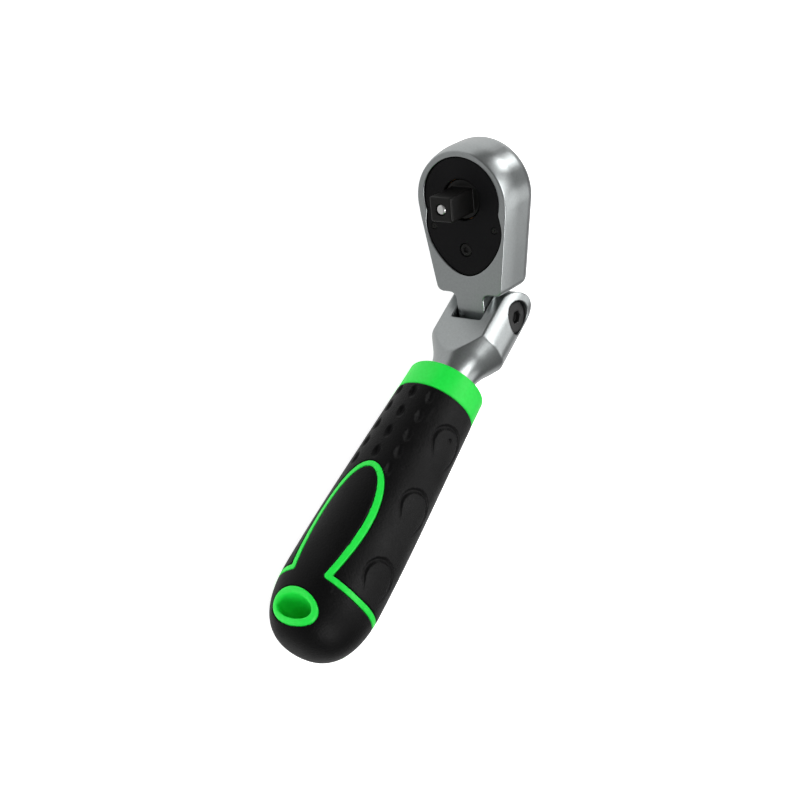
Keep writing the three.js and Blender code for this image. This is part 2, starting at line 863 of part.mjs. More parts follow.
function handleCore() {
  const collar = turned(
    [
      [collarBaseX, 0],
      [collarBaseX, collarRadius[1]],
      [collarTopX - collarEdge, collarRadius[0]],
      [collarTopX, collarRadius[0] - collarEdge],
      [collarTopX, 0],
    ],
    "x",
    48,
  );
  const body = turned(coreProfile(0), "x", 30);
  const halfStripe = stripeWidth / 2;
  const rib = cut(
    common(turned(handleOutside(), "x", 36), panel(halfStripe, -through, through)),
    panel(-halfStripe, -through, through),
  );
  const [neckBaseX, neckRadius] = neckProfile[0];
  const bore = turned(
    [
      [tangEndX - past, 0],
      [tangEndX - past, tangRadius + runningGap],
      [tangStartX - tangChamfer, tangRadius + runningGap],
      [neckBaseX, neckRadius + runningGap],
      [collarTopX + past, neckRadius + runningGap],
      [collarTopX + past, 0],
    ],
    "x",
    32,
  );
  return cut(join(collar, body, rib), bore);
}

function gripSleeve() {
  const shell = cut(turned(handleOutside(), "x", 36), turned(coreProfile(seatGap), "x", 30));
  const behindCollar = slab(
    rectangle(handleEndX, -through, collarBaseX - seatGap, through),
    -through,
    through,
    "y",
  );
  const insidePanel = panel(stripeWidth / 2 + partingGap, -through - past, through + past);
  return cut(common(shell, behindCollar), insidePanel);
}

function gripEnd() {
  const shell = cut(turned(handleOutside(), "x", 36), turned(coreProfile(seatGap), "x", 30));
  return cut(
    common(shell, panel(-stripeWidth / 2 - partingGap, -through, through)),
    hangOval(hangRingOutside, seatGap),
  );
}

// The hang hole is an oval, wide across the handle.
function hangOval({ halfLength, halfWidth }, extra = 0) {
  const oval = rod(halfWidth + extra, -through, through, "y", 28);
  oval.scale((halfLength + extra) / (halfWidth + extra), 1, 1);
  return oval.translate(hangHoleX, 0, 0);
}

function hangRing() {
  const trimmed = common(hangOval(hangRingOutside), turned(handleOutside(ringProud), "x", 36));
  return cut(trimmed, hangOval(hangHole));
}

// Assembly.

function group(name, ...children) {
  const made = new THREE.Group();
  made.name = name;
  made.add(...children);
  return made;
}

const drive = group(
  "drive_axis",
  piece("drive_gear", driveGear(), blackSteel),
  piece("release_pin", releasePin(), brightSteel),
  piece("release_button", releaseButton(), blackSteel),
  piece("release_spring", releaseSpring(), springSteel),
  piece("retaining_ball", retainingBall(), brightSteel),
);
drive.position.x = driveAxisX;

const lever = group(
  "lever_axis",
  piece("selector", selector(), blackSteel),
  piece("selector_seal", selectorSeal(), sealRubber),
  piece("cover_screw", coverScrew(), blackSteel),
  piece("pawl_plunger", pawlPlunger(), springSteel),
  piece("pawl_spring", pawlSpring(), springSteel),
);
lever.position.x = driveAxisX - stemOffset;
lever.rotation.y = THREE.MathUtils.degToRad(leverTurn);

const rocker = group("pawl_axis", piece("pawl", pawl(), sinteredSteel));
rocker.position.x = driveAxisX - stemOffset;
rocker.rotation.y = THREE.MathUtils.degToRad(-pawlTilt);

const head = group(
  "head_frame",
  piece("head_body", headBody(), satinChrome),
  piece("head_cover", headCover(), blackSteel),
  piece("cover_pin_left", coverPin(-1), blackSteel),
  piece("cover_pin_right", coverPin(1), blackSteel),
  piece("thrust_washer", thrustWasher(), bronze),
  drive,
  lever,
  rocker,
);
head.rotation.z = THREE.MathUtils.degToRad(flexAtRest);

const tool = group(
  "handle_frame",
  piece("fork", fork(), satinChrome),
  piece("pivot_screw", pivotScrew(), blackSteel),
  piece("flex_detent_ball", flexDetentBall(), bronze),
  piece("flex_detent_spring", flexDetentSpring(), springSteel),
  piece("handle_core", handleCore(), greenPlastic),
  piece("grip_sleeve", gripSleeve(), softGrip),
  piece("grip_end", gripEnd(), softGrip),
  piece("hang_ring", hangRing(), greenPlastic),
  head,
);
tool.rotation.set(THREE.MathUtils.degToRad(lieRoll), THREE.MathUtils.degToRad(liePitch), 0);

// The part's origin is under the middle of its box, on the surface that it lies on.
const box = new THREE.Box3().setFromObject(tool, true);
const middle = box.getCenter(new THREE.Vector3());
tool.position.set(-middle.x, -middle.y, -box.min.z);

export default group("ratchet_wrench", tool);
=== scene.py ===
import json
import math

import bpy
import numpy as np
from mathutils import Matrix, Vector


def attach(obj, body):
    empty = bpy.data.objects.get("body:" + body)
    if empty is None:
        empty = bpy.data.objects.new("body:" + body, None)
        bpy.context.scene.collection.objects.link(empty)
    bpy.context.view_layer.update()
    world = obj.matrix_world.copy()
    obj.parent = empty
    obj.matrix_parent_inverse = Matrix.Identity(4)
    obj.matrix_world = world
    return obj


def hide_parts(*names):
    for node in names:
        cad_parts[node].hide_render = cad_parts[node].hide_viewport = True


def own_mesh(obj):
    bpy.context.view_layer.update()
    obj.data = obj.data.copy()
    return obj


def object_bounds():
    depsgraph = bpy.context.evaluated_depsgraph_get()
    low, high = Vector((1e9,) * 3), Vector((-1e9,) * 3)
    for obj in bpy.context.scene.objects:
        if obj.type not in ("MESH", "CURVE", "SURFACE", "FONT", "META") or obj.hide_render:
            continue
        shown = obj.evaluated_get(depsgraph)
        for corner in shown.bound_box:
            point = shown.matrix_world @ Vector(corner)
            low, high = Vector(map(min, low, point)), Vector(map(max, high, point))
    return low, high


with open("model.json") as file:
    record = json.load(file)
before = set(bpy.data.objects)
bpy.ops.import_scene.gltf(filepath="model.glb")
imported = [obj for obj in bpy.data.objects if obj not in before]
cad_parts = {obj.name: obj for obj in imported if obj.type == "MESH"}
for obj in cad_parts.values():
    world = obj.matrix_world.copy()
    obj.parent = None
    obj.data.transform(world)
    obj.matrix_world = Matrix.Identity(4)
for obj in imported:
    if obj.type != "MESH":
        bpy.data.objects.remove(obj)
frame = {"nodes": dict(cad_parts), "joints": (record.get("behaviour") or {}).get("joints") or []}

cad_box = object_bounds()

# How the tool lies. The flex joint joins the handle to the head, and both turn about its axis, so each
# has a frame there: X along its length, Y out of its front face, Z along the flex axis. Sizes are in
# millimetres in those frames.

joints = {joint["name"]: joint for joint in frame["joints"]}
flex_axis = Vector(joints["head_flex"]["axis"])
square_axis = Vector(joints["drive_spin"]["axis"])
head_lean = 60
millimetre = 0.001


def placed(origin, x_axis, y_axis, z_axis):
    place = Matrix((x_axis, y_axis, z_axis)).transposed().to_4x4()
    place.translation = Vector(origin)
    return place


def turned(place, degrees, axis):
    return place @ Matrix.Rotation(math.radians(degrees), 4, axis)


head_place = placed(joints["head_flex"]["pos_m"], square_axis.cross(flex_axis), square_axis, flex_axis)
handle_place = turned(head_place, -head_lean, "Z")


def distance_up_head(joint):
    """How far a joint's axis is from the flex axis, along the head."""
    reach = Vector(joints[joint]["pos_m"]) - head_place.translation
    return reach.length / millimetre


# Camera, from over the tool's front left, with the handle running down the picture.

camera_at = (-216.1, 280.8, 218.1)
camera_aim = (-36.6, 8.7, -3.8)
camera_up = (0.7730, 0.6199, -0.1350)
camera_lens = 71.9


def in_row(point, place=handle_place):
    return place @ (Vector(point) * millimetre)


camera = bpy.data.objects.new("camera", bpy.data.cameras.new("camera"))
bpy.context.scene.collection.objects.link(camera)
back = (in_row(camera_at) - in_row(camera_aim)).normalized()
right = (handle_place.to_3x3() @ Vector(camera_up)).cross(back).normalized()
camera.matrix_world = placed(in_row(camera_at), right, back.cross(right), back)
camera.data.lens = camera_lens
camera.data.sensor_width = 36
camera.data.clip_start = 0.01
bpy.context.scene.camera = camera
bpy.context.scene.view_settings.view_transform = "Standard"

# Studio: a lit white table, a dim room and six soft boxes. The fill box only lights what is dull. A gloss
# sees the room below the horizon, and not the table, so that the chrome keeps its shades.


def add(tree, kind, values=None, **settings):
    """A node with its settings, its plain values, and links from the sockets given as values."""
    node = tree.nodes.new(kind)
    for name, setting in settings.items():
        setattr(node, name, setting)
    for name, value in (values or {}).items():
        if isinstance(value, bpy.types.NodeSocket):
            tree.links.new(value, node.inputs[name])
        else:
            node.inputs[name].default_value = value
    return node


table_glow = 0.88
table_white = (0.80, 0.80, 0.80, 1)
table_width = 6.0
table_roughness = 0.9
table_gloss = 0.1
room_light = (0.12, 0.22)
room_bright_from = 0.7
floor_light = (0.46, 0.92)
horizon = (-0.10, 0.02)
# Each box: where it hangs from the tool, its width, and its brightness.
soft_boxes = {
    "overhead_box": ((0.31, -0.02, 0.62), 0.44, 3.4),
    "end_box": ((0.66, 0.06, 0.27), 0.22, 6.0),
    "far_box": ((0.42, -0.60, 0.55), 0.60, 1.2),
    "neck_box": ((0.08, -0.05, 0.74), 0.34, 2.6),
    "near_box": ((-0.52, -0.12, 0.60), 0.36, 7.0),
    "fill_box": ((-0.30, 0.55, 0.60), 0.80, 1.2),
}

world = bpy.data.worlds.new("room")
bpy.context.scene.world = world
world.use_nodes = True
tree = world.node_tree
tree.nodes.clear()
way = add(tree, "ShaderNodeTexCoord").outputs["Generated"]
ways = add(tree, "ShaderNodeSeparateXYZ", {"Vector": way}).outputs
above = add(tree, "ShaderNodeMapRange", {
    "Value": ways["Z"], "From Min": 0.0, "From Max": room_bright_from,
    "To Min": room_light[0], "To Max": room_light[1],
})
below = add(tree, "ShaderNodeMapRange", {
    "Value": ways["X"], "From Min": -1.0, "From Max": 1.0,
    "To Min": floor_light[0], "To Max": floor_light[1],
})
rise = add(tree, "ShaderNodeMapRange", {
    "Value": ways["Z"], "From Min": horizon[0], "From Max": horizon[1],
})
light_there = add(tree, "ShaderNodeMix", {
    "Factor": rise.outputs["Result"], "A": below.outputs["Result"], "B": above.outputs["Result"],
})
air = add(tree, "ShaderNodeBackground", {"Color": (1, 1, 1, 1), "Strength": light_there.outputs["Result"]})
add(tree, "ShaderNodeOutputWorld", {"Surface": air.outputs["Background"]})

tool_middle = (cad_box[0] + cad_box[1]) / 2
for name, (hangs, width, brightness) in soft_boxes.items():
    light = bpy.data.lights.new(name, "AREA")
    light.shape = "DISK"
    light.size = width
    light.energy = brightness * math.pi * math.pi * (width / 2) ** 2
    lamp = bpy.data.objects.new(name, light)
    bpy.context.scene.collection.objects.link(lamp)
    lamp.location = tool_middle + Vector(hangs)
    lamp.visible_glossy = name != "fill_box"
    lamp.rotation_mode = "QUATERNION"
    lamp.rotation_quaternion = Vector(hangs).to_track_quat("Z", "Y")

table_mesh = bpy.data.meshes.new("table")
half = table_width / 2
corners = [(-half, -half, 0), (half, -half, 0), (half, half, 0), (-half, half, 0)]
table_mesh.from_pydata(corners, [], [(0, 1, 2, 3)])
table = bpy.data.objects.new("table", table_mesh)
bpy.context.scene.collection.objects.link(table)
table_paint = bpy.data.materials.new("table_paint")
table_paint.use_nodes = True
tree = table_paint.node_tree
shader = tree.nodes["Principled BSDF"]
shader.inputs["Base Color"].default_value = table_white
shader.inputs["Roughness"].default_value = table_roughness
shader.inputs["Specular IOR Level"].default_value = table_gloss
shader.inputs["Emission Color"].default_value = (1, 1, 1, 1)
shader.inputs["Emission Strength"].default_value = table_glow
table_mesh.materials.append(table_paint)
table.visible_glossy = False

# Head: a pear-shaped steel forging, satin chromed. Its front has a seat for the cover, a bore for the
# gear and room for the pawl; its back has bores for the drive's boss and the lever's stem. The tongue
# at its foot turns in the fork, and the notches round it click over the detent ball.
#
# A field says how far a point is from a piece's surface, negative inside. Shapes are joined and cut in
# the field, with soft edges, and the mesh is then laid over the surface where the field is zero.


def joined(a, b, soft=0.0):
    """The union of two shapes, with a fillet about as wide as soft where they meet."""
    if soft == 0:
        return np.minimum(a, b)
    near = np.maximum(soft - np.abs(a - b), 0) / soft
    return np.minimum(a, b) - near * near * soft / 4


def common(a, b, soft=0.0):
    """What two shapes share, with its edges rounded about as wide as soft."""
    return -joined(-a, -b, soft)


def cut(blank, tool, soft=0.0):
    return common(blank, -tool, soft)


def between(along, low, high):
    """The slab between two places along one direction."""
    return np.abs(along - (low + high) / 2) - (high - low) / 2


def rod(across_a, across_b, radius):
    return np.hypot(across_a, across_b) - radius


def corners_on(field, low, high, step):
    """One corner for each small cell that the surface runs through, and the faces that join them."""
    counts = [math.ceil((top - base) / step) + 1 for base, top in zip(low, high)]
    lines = [base + step * np.arange(count) for base, count in zip(low, counts)]
    value = field(*np.meshgrid(*lines, indexing="ij", sparse=True)) + np.zeros(counts)
    inside = value < 0
    filled = np.zeros([count - 1 for count in counts], np.int8)
    for corner in np.ndindex(2, 2, 2):
        filled += inside[tuple(slice(at, at + count - 1) for at, count in zip(corner, counts))]
    cells = np.stack(np.nonzero((filled > 0) & (filled < 8)), axis=1)
    number = np.full(filled.shape, -1)
    number[tuple(cells.T)] = np.arange(len(cells))
    total = np.zeros((len(cells), 3))
    crossings = np.zeros(len(cells))
    faces = []
    for axis in range(3):
        across, up = (axis + 1) % 3, (axis + 2) % 3
        unit, aside, above = np.eye(3, dtype=int)[[axis, across, up]]
        for corner in (0 * unit, aside, above, aside + above):
            start = value[tuple((cells + corner).T)]
            end = value[tuple((cells + corner + unit).T)]
            crossed = (start < 0) != (end < 0)
            share = np.where(crossed, start / np.where(crossed, start - end, 1), 0)
            total += crossed[:, None] * corner + share[:, None] * unit
            crossings += crossed
        lower = [slice(None)] * 3
        upper = [slice(None)] * 3
        lower[axis], upper[axis] = slice(0, -1), slice(1, None)
        for leaving in (True, False):
            edge = inside[tuple(lower)] & ~inside[tuple(upper)]
            if not leaving:
                edge = ~inside[tuple(lower)] & inside[tuple(upper)]
            at = np.stack(np.nonzero(edge), axis=1)
            ring = [at - aside - above, at - above, at, at - aside]
            if not leaving:
                ring.reverse()
            faces.append(np.stack([number[tuple(cell.T)] for cell in ring], axis=1))
    points = np.array(low) + step * (cells + total / crossings[:, None])
    return points, np.concatenate(faces)


def slope(field, points, reach=0.004):
    """Which way and how fast the field grows at each point."""
    steps = np.eye(3) * reach
    rises = [field(*(points + ahead).T) - field(*(points - ahead).T) for ahead in steps]
    return np.stack(rises, axis=1) / (2 * reach)


def skin(name, field, low, high, step, place, rounds=3):
    """A closed mesh laid over a piece's surface, with its corners drawn onto it in a few rounds."""
    points, faces = corners_on(field, low, high, step)
    for _ in range(rounds):
        rise = slope(field, points)
        steepness = np.maximum((rise * rise).sum(axis=1), 0.05)
        move = rise * (field(*points.T) / steepness)[:, None]
        length = np.linalg.norm(move, axis=1)[:, None]
        points = points - move * np.minimum(1, 0.5 * step / np.maximum(length, 1e-9))
    outwards = slope(field, points)
    outwards /= np.maximum(np.linalg.norm(outwards, axis=1), 1e-9)[:, None]
    rotation = np.array(place.to_3x3())
    in_metres = points @ rotation.T * millimetre + np.array(place.translation)
    mesh = bpy.data.meshes.new(name)
    mesh.vertices.add(len(points))
    mesh.vertices.foreach_set("co", in_metres.ravel())
    mesh.loops.add(4 * len(faces))
    mesh.loops.foreach_set("vertex_index", faces.ravel())
    mesh.polygons.add(len(faces))
    mesh.polygons.foreach_set("loop_start", 4 * np.arange(len(faces)))
    mesh.update(calc_edges=True)
    mesh.validate()
    mesh.shade_smooth()
    mesh.normals_split_custom_set_from_vertices(outwards @ rotation.T)
    piece = bpy.data.objects.new(name, mesh)
    bpy.context.scene.collection.objects.link(piece)
    return piece


drive_x = distance_up_head("drive_spin")
stem_x = distance_up_head("lever_turn")
head_radius = 13.45
head_front = 7.3
head_back = -6.2
shoulder = (7.8, 9.7)
shoulder_corner = 1.7
front_swell = (0.2, 6.0)
end_swell = (0.75, -5, 14)
front_edge = 0.36
back_rounding = (1.9, 3.3)
tongue_radius = 6.9
tongue_half_width = 4.1
tongue_back = -5.6
tongue_root = 14
tongue_root_blend = 0.6
tongue_edge = 0.5
tongue_front = (0.9, 7.05)
tongue_fillet = 2.2
notch_every = 15
notch_radius = 0.9
notch_depth = 0.4
gear_bore = 8.75
chamber_floor = -3.8
pivot_bore = 2.6
boss_bore = 4.65
stem_bore = 2.55
hub_room = 4.75
wing_room = 10.45
wing_room_edge = 3.2
bore_edge = 0.25
notch_edge = 0.12
last_notch = 6


def pear(x, z, radius):
    """The head's outline: a circle, and two straight sides that touch it and run to the shoulders."""
    away = np.array([shoulder[0] - drive_x, shoulder[1]])
    touch = math.atan2(away[1], away[0]) - math.acos(radius / np.hypot(*away))
    along, across = x - drive_x, np.abs(z)
    beyond = -math.sin(touch) * along + math.cos(touch) * across
    side = math.cos(touch) * along + math.sin(touch) * across - radius
    return np.where(beyond > 0, side, np.hypot(along, across) - radius)


cover_radius = 10.85
cover_toe = 19.7
cover_lobe = (7.4, 11.0)
cover_neck = 3.0


def curve(start, first, second, end, steps):
    """Points along a Bezier curve."""
    t = np.linspace(0, 1, steps + 1)[:, None]
    weights = [(1 - t) ** 3, 3 * t * (1 - t) ** 2, 3 * t * t * (1 - t), t ** 3]
    return sum(w * np.array(p, float) for w, p in zip(weights, (start, first, second, end)))


def outline_distance(outline, x, z):
    """How far a point is from a closed outline, negative inside."""
    nearest = np.full(np.broadcast(x, z).shape, 1e9)
    inside = np.zeros(nearest.shape, bool)
    for (ax, az), (bx, bz) in zip(outline, np.roll(outline, -1, axis=0)):
        run, lift = bx - ax, bz - az
        along = np.clip(((x - ax) * run + (z - az) * lift) / (run ** 2 + lift ** 2), 0, 1)
        nearest = np.minimum(nearest, (x - ax - along * run) ** 2 + (z - az - along * lift) ** 2)
        if az != bz:
            inside ^= ((az > z) != (bz > z)) & (x < ax + (z - az) * run / lift)
    return np.where(inside, -1, 1) * np.sqrt(nearest)


def outline_chart(outline, low, high, step=0.07):
    """outline_distance worked out once on a fine grid, and read off between the grid's corners."""
    lines = [np.arange(base, top + step, step) for base, top in zip(low, high)]
    chart = outline_distance(outline, lines[0][:, None], lines[1][None, :])

    def distance(x, z):
        x, z = np.broadcast_arrays(x, z)
        across = np.clip((x - low[0]) / step, 0, len(lines[0]) - 1.001)
        up = np.clip((z - low[1]) / step, 0, len(lines[1]) - 1.001)
        i, j = across.astype(int), up.astype(int)
        u, v = across - i, up - j
        near = chart[i, j] * (1 - v) + chart[i, j + 1] * v
        far = chart[i + 1, j] * (1 - v) + chart[i + 1, j + 1] * v
        return near * (1 - u) + far * u

    return distance


def cover_outline():
    """The cover is round about the drive, and two lobes beside the pins run in to a toe."""
    toe = (drive_x - cover_toe, 0)
    lobe = (drive_x - cover_lobe[0], cover_lobe[1])
    neck_z = math.sqrt(cover_radius ** 2 - cover_neck ** 2)
    neck = (drive_x - cover_neck, neck_z)
    turn = np.linspace(math.atan2(neck_z, -cover_neck), 0, 30)[1:, None]
    half_outline = np.concatenate([
        curve(toe, (toe[0], 5), (lobe[0] - 5.1, lobe[1]), lobe, 26),
        curve(lobe, (lobe[0] + 2, lobe[1]), (neck[0] - 1.4, neck[1] + 0.1), neck, 10)[1:],
        (drive_x, 0) + cover_radius * np.hstack([np.cos(turn), np.sin(turn)]),
    ])
    return np.concatenate([half_outline, half_outline[-2:0:-1] * (1, -1)])


cover_distance = outline_chart(cover_outline(), (drive_x - 23, -14), (drive_x + 14, 14))
cover_seat_floor = 5.35
cover_gap = 0.16
cover_pin_at = (7.35, 8.95)
cover_pin_radius = 0.8
cover_pin_room = 0.05
cover_pin_ends = (1.5, 6.9)


def head_field(x, y, z):
    grown, start, length = end_swell
    crown = front_swell[0] + grown * np.clip((x - drive_x - start) / length, 0, 1)
    swell = crown * np.clip((y - head_front + front_swell[1]) / front_swell[1], 0, 1) ** 2
    body = common(pear(x, z, head_radius) + swell, shoulder[0] - x, shoulder_corner)
    body = common(body, (head_back - y) * back_rounding[0] / back_rounding[1], back_rounding[0])
    web = common(tongue_back - y, between(x, tongue_front[0], tongue_root))
    tongue = joined(rod(x, y, tongue_radius), web, tongue_root_blend)
    tongue = common(tongue, np.abs(z) - tongue_half_width, tongue_edge)
    body = joined(body, tongue, tongue_fillet)
    down_tongue = np.clip((shoulder[0] - x) / (shoulder[0] - tongue_front[0]), 0, 1)
    drop = (head_front - tongue_front[1]) * down_tongue
    body = common(body, y - head_front + drop, front_edge)
    seat = common(cover_distance(x, z) - cover_gap, cover_seat_floor - y)
    body = cut(body, seat, 0.3)
    along = x - drive_x
    rooms = joined(rod(along, z, gear_bore), common(rod(along, z, wing_room), along + wing_room_edge))
    rooms = joined(rooms, rod(x - stem_x, z, hub_room))
    bores = common(rooms, between(y, chamber_floor, head_front))
    bores = joined(bores, common(rod(along, z, boss_bore), y))
    bores = joined(bores, common(rod(x - stem_x, z, stem_bore), y))
    pin_bore = rod(along + cover_pin_at[0], np.abs(z) - cover_pin_at[1], cover_pin_radius + cover_pin_room)
    bores = joined(bores, common(pin_bore, cover_pin_ends[0] - y))
    body = cut(body, bores, bore_edge)
    body = cut(body, rod(x, y, pivot_bore), bore_edge)
    turn = np.radians(notch_every)
    nearest = np.clip(np.round(np.arctan2(y, -x) / turn), -last_notch, last_notch) * turn
    middle = tongue_radius + notch_radius - notch_depth
    notch = rod(x + middle * np.cos(nearest), y - middle * np.sin(nearest), notch_radius)
    return cut(body, notch, notch_edge)


def group_of(name, takes, gives):
    """A shader node group with named number inputs and outputs."""
    tree = bpy.data.node_groups.new(name, "ShaderNodeTree")
    for socket, value in takes.items():
        entry = tree.interface.new_socket(socket, in_out="INPUT", socket_type="NodeSocketFloat")
        entry.default_value = value
    for socket in gives:
        tree.interface.new_socket(socket, in_out="OUTPUT", socket_type="NodeSocketFloat")
    return tree, add(tree, "NodeGroupInput"), add(tree, "NodeGroupOutput")


def math_node(tree, operation, first, second=0.0, clamp=False):
    node = add(tree, "ShaderNodeMath", operation=operation, use_clamp=clamp)
    for socket, value in zip(node.inputs, (first, second)):
        if isinstance(value, bpy.types.NodeSocket):
            tree.links.new(value, socket)
        else:
            socket.default_value = value
    return node.outputs["Value"]


# Fine grain: a speckle of a given size in millimetres, as a height and as a mottle.
fine_grain, taken, given = group_of("fine_grain", {"Grain": 0.3, "Detail": 2.0}, ["Height", "Mottle"])
spot = add(fine_grain, "ShaderNodeTexCoord").outputs["Object"]
scale = math_node(fine_grain, "DIVIDE", 1 / millimetre, taken.outputs["Grain"])
speckle = add(fine_grain, "ShaderNodeTexNoise", {
    "Vector": spot, "Scale": scale, "Detail": taken.outputs["Detail"], "Roughness": 0.55,
})
fine_grain.links.new(speckle.outputs["Fac"], given.inputs["Height"])
wide = add(fine_grain, "ShaderNodeTexNoise", {
    "Vector": spot, "Scale": math_node(fine_grain, "DIVIDE", scale, 2.3), "Detail": 1.0, "Roughness": 0.5,
})
fine_grain.links.new(wide.outputs["Fac"], given.inputs["Mottle"])

# Edge wear: where the surface turns sharply outwards, broken up by a fine noise.
edge_wear, taken, given = group_of("edge_wear", {"Start": 0.56, "Full": 0.66}, ["Wear"])
bend = add(edge_wear, "ShaderNodeNewGeometry").outputs["Pointiness"]
broken = add(edge_wear, "ShaderNodeTexNoise", {
    "Vector": add(edge_wear, "ShaderNodeTexCoord").outputs["Object"], "Scale": 900.0, "Detail": 3.0,
})
shifted = math_node(edge_wear, "ADD", bend, math_node(edge_wear, "MULTIPLY", broken.outputs["Fac"], 0.02))
worn = add(edge_wear, "ShaderNodeMapRange", {
    "Value": shifted, "From Min": taken.outputs["Start"], "From Max": taken.outputs["Full"],
})
edge_wear.links.new(worn.outputs["Result"], given.inputs["Wear"])

# Handling: wide soft patches where hands and storage have dulled or polished the surface.
handling, taken, given = group_of("handling", {"Patch": 9.0}, ["Patches"])
patches = add(handling, "ShaderNodeTexNoise", {
    "Vector": add(handling, "ShaderNodeTexCoord").outputs["Object"],
    "Scale": math_node(handling, "DIVIDE", 1 / millimetre, taken.outputs["Patch"]),
    "Detail": 3.0,
})
spread = add(handling, "ShaderNodeMapRange", {
    "Value": patches.outputs["Fac"], "From Min": 0.35, "From Max": 0.65,
})
handling.links.new(spread.outputs["Result"], given.inputs["Patches"])


def finish(name, dark, light, metal, dull, grain, depth, specular=0.5, wear=0.0, worn=None, patch=0.05):
    """A finish: two shades mottled together, with a roughness, a grain of a size and depth in
    millimetres, a share of wear on its edges and a change of roughness in patches."""
    material = bpy.data.materials.new(name)
    material["slot"] = name
    material.use_nodes = True
    tree = material.node_tree
    shader = tree.nodes["Principled BSDF"]
    shader.inputs["Metallic"].default_value = metal
    shader.inputs["Specular IOR Level"].default_value = specular
    grains = add(tree, "ShaderNodeGroup", node_tree=fine_grain)
    grains.inputs["Grain"].default_value = grain
    edges = add(tree, "ShaderNodeGroup", node_tree=edge_wear)
    hands = add(tree, "ShaderNodeGroup", node_tree=handling)
    shade = add(tree, "ShaderNodeMix", data_type="RGBA")
    tree.links.new(grains.outputs["Mottle"], shade.inputs["Factor"])
    shade.inputs["A"].default_value = (*dark, 1)
    shade.inputs["B"].default_value = (*light, 1)
    colour = shade.outputs["Result"]
    worn_share = math_node(tree, "MULTIPLY", edges.outputs["Wear"], wear)
    if worn:
        rubbed = add(tree, "ShaderNodeMix", data_type="RGBA")
        tree.links.new(worn_share, rubbed.inputs["Factor"])
        tree.links.new(colour, rubbed.inputs["A"])
        rubbed.inputs["B"].default_value = (*worn, 1)
        colour = rubbed.outputs["Result"]
    tree.links.new(colour, shader.inputs["Base Color"])
    change = math_node(tree, "MULTIPLY", hands.outputs["Patches"], patch)
    rough = math_node(tree, "ADD", change, dull - patch / 2)
    smoother = math_node(tree, "MULTIPLY", worn_share, 0.3 * dull)
    rough = math_node(tree, "SUBTRACT", rough, smoother, clamp=True)
    tree.links.new(rough, shader.inputs["Roughness"])
    bump = add(tree, "ShaderNodeBump", {"Height": grains.outputs["Height"], "Strength": 1.0})
    bump.inputs["Distance"].default_value = depth * millimetre
    tree.links.new(bump.outputs["Normal"], shader.inputs["Normal"])
    return material


satin_chrome = finish(
    "satin_chrome", dark=(0.365, 0.385, 0.385), light=(0.465, 0.490, 0.490), metal=1.0, dull=0.31,
    grain=0.22, depth=0.004, wear=0.25, worn=(0.55, 0.56, 0.56),
)


def fitted(piece, material, body, node):
    """Gives a piece its finish, and puts it on its body in place of the plain part."""
    piece.data.materials.append(material)
    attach(piece, body)
    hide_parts(node)


head = skin("head_forging", head_field, (-8, -7.4, -14.5), (47, 8.4, 14.5), 0.26, head_place)
fitted(head, satin_chrome, "head", "head_body")

# Cover: a stamped steel plate, blacked, that keeps the gear and the pawl in. It sits in the head's seat
# on two pins, and the lever's screw passes through its toe.

cover_faces = (5.4, 7.0)
cover_hole = 5.3
cover_screw_hole = 1.15
cover_screw_seat = (1.8, 6.0)
plate_edge = 0.35
plate_hole_edge = 0.2


def cover_field(x, y, z):
    along = x - drive_x
    plate = common(cover_distance(x, z), between(y, *cover_faces), plate_edge)
    plate = cut(plate, rod(along, z, cover_hole), plate_edge)
    across_screw = np.hypot(x - stem_x, z)
    screw_room = common(across_screw - cover_screw_seat[0], cover_screw_seat[1] - y)
    plate = cut(plate, screw_room, plate_hole_edge)
    plate = cut(plate, across_screw - cover_screw_hole, plate_hole_edge)
    pin_holes = rod(along + cover_pin_at[0], np.abs(z) - cover_pin_at[1], cover_pin_radius + cover_pin_room)
    return cut(plate, pin_holes, plate_hole_edge)


matt_black = finish(
    "black_cover", dark=(0.0020, 0.0019, 0.0022), light=(0.0042, 0.0040, 0.0046), metal=0.0, dull=0.55,
    grain=0.16, depth=0.004, specular=0.14, wear=0.4, worn=(0.03, 0.03, 0.03), patch=0.12,
)

cover = skin("cover_plate", cover_field, (12, 5, -11.4), (44, 7.4, 11.4), 0.17, head_place)
fitted(cover, matt_black, "head", "head_cover")

# Cover pins: two blacked steel pins pressed into the head, each with a small centre mark in its end.

pin_mark = (0.42, 0.30)


def cover_pin_field(x, y, z):
    across = np.hypot(x, z)
    pin = common(across - cover_pin_radius, between(y, *cover_pin_ends), 0.25)
    radius, deep = pin_mark
    return cut(pin, across - radius + np.maximum(cover_pin_ends[1] - y, 0) * radius / deep, 0.1)


oiled_black = finish(
    "black_steel", dark=(0.0026, 0.0025, 0.0024), light=(0.0056, 0.0053, 0.0050), metal=0.0, dull=0.42,
    grain=0.14, depth=0.006, specular=0.26, wear=0.8, worn=(0.11, 0.105, 0.10), patch=0.14,
)

for side, name in ((-1, "cover_pin_left"), (1, "cover_pin_right")):
    pin_place = head_place @ Matrix.Translation(
        Vector((drive_x - cover_pin_at[0], 0, side * cover_pin_at[1])) * millimetre
    )
    pin = skin("dowel_" + name[10:], cover_pin_field, (-1, 1.2, -1), (1, 7.2, 1), 0.09, pin_place)
    fitted(pin, oiled_black, "head", name)

# Reversing lever: a small blacked steel tab on a round stem, at the back of the head. The stem runs up
# through the head to carry the pawl, with a rubber ring to keep grit out. The tab has thumb ribs.

lever_place = turned(head_place @ Matrix.Translation(Vector((stem_x, 0, 0)) * millimetre), 32, "Y")
lever_faces = (-8.9, -6.5)
lever_hub = 4.2
lever_tip = (6.4, 2.1)
rib_every = 1.25
rib_height = 0.35
stem_radius = 2.4
stem_top = 5.2
seal_groove = (-5.0, 0.4, 0.5)
plunger_hole = (0.95, 0.2, -1.75)
thread_hole = (1.05, 1.9)


